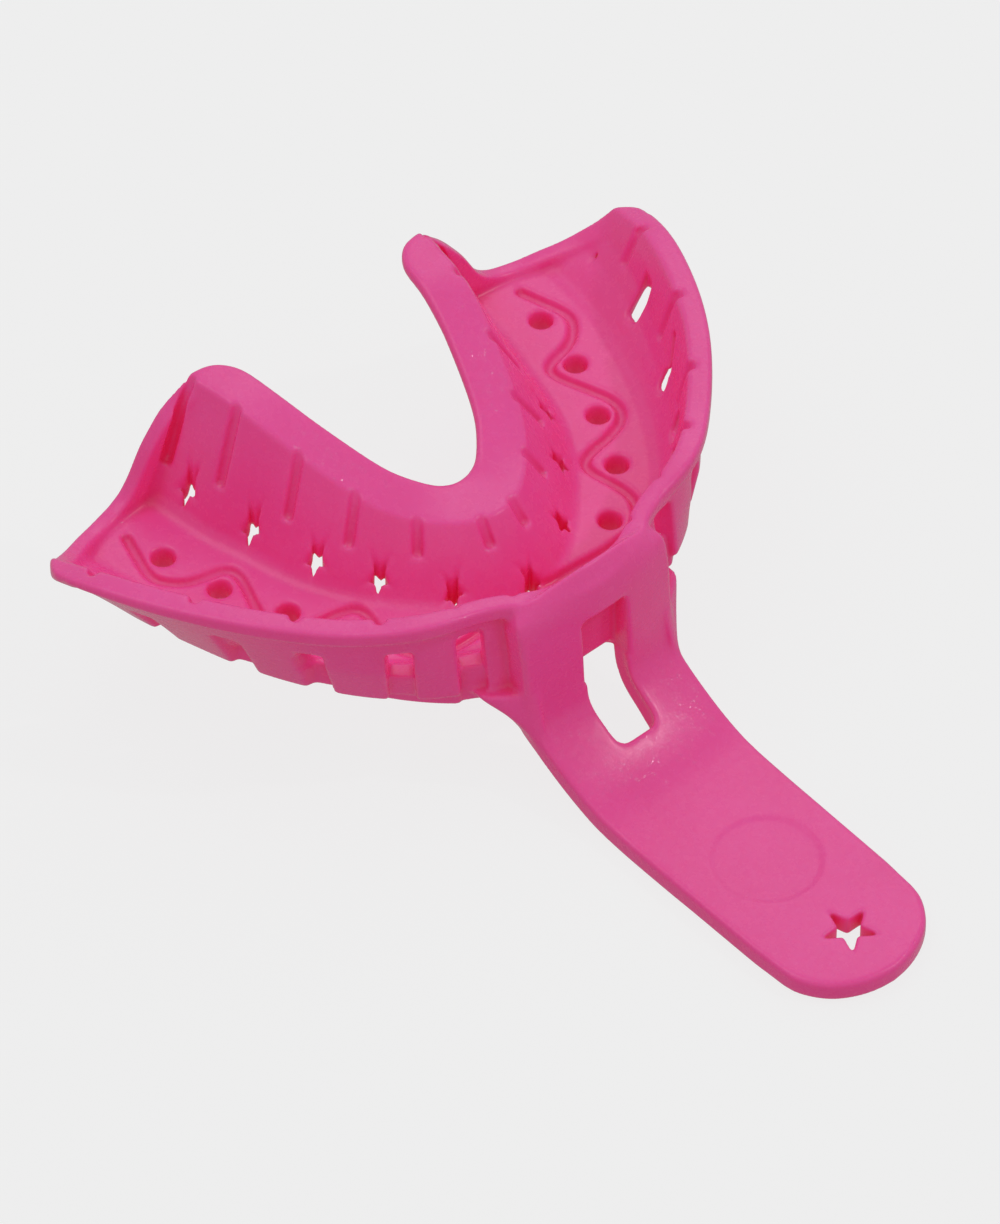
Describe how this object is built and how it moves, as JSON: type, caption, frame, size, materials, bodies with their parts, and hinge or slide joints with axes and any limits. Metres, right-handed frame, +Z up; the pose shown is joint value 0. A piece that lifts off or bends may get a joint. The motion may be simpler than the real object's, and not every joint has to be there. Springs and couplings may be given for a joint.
{
  "type": "dental impression tray",
  "caption": "Horseshoe dental impression tray for a lower jaw: open trough with perforated floor and slotted walls, stepped flat grip handle.",
  "frame": {"origin": "middle of the bounding box in plan, at the underside of the grip (its lowest face)", "axes": "+Z up out of the trough, +Y from the handle towards the ends of the arms, +X across the arch to the right arm; x = 0 is the mirror plane"},
  "size_m": [0.0786, 0.0904, 0.0277],
  "materials": {
    "pink_plastic": "satin, evenly coloured moulded plastic with a fine texture"
  },
  "bodies": {
    "root": {"tray_moulding": "pink_plastic"}
  },
  "joints": []
}
